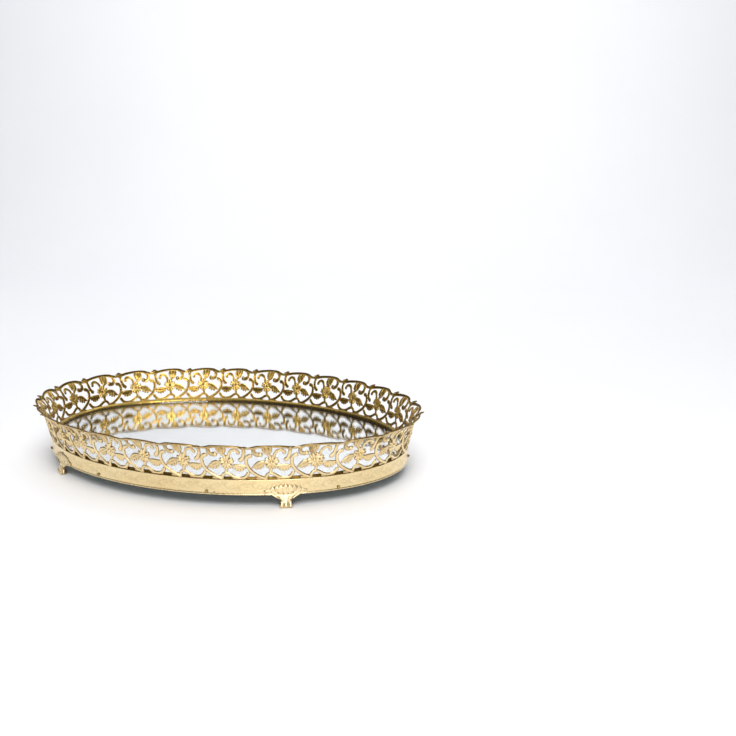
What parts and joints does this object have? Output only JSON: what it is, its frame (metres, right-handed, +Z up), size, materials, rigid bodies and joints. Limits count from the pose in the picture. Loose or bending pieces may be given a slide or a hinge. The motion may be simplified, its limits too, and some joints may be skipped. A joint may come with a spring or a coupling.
{
  "type": "dresser vanity tray",
  "caption": "Oval mirrored vanity tray: a gilt band with an openwork scroll and flower gallery, a mirror bottom on a felted board, and cast palmette feet.",
  "frame": {"origin": "centre of the oval, on the plane of the four soles", "axes": "+X along the oval's long axis, +Y along its short axis towards the rear, +Z up"},
  "size_m": [0.3024, 0.2195, 0.044],
  "materials": {
    "gilt_sheet": "satin",
    "gilt_filigree": "antiqued",
    "gilt_casting": "satin",
    "clear_glass": "polished",
    "silvering": "polished",
    "grey_card": "matte",
    "hardboard": "matte",
    "felt": "matte",
    "screw_steel": "dull",
    "brad_brass": "tarnished"
  },
  "bodies": {
    "root": {"band": "gilt_sheet", "gallery_front": "gilt_filigree", "gallery_right": "gilt_filigree", "gallery_rear": "gilt_filigree", "gallery_left": "gilt_filigree", "mirror_glass": "clear_glass", "mirror_silvering": "silvering", "backing_card": "grey_card", "base_board": "hardboard", "base_felt": "felt", "foot_front_left": "gilt_casting", "foot_front_right": "gilt_casting", "foot_rear_left": "gilt_casting", "foot_rear_right": "gilt_casting", "foot_screws": "screw_steel", "band_brads": "brad_brass"}
  },
  "joints": []
}
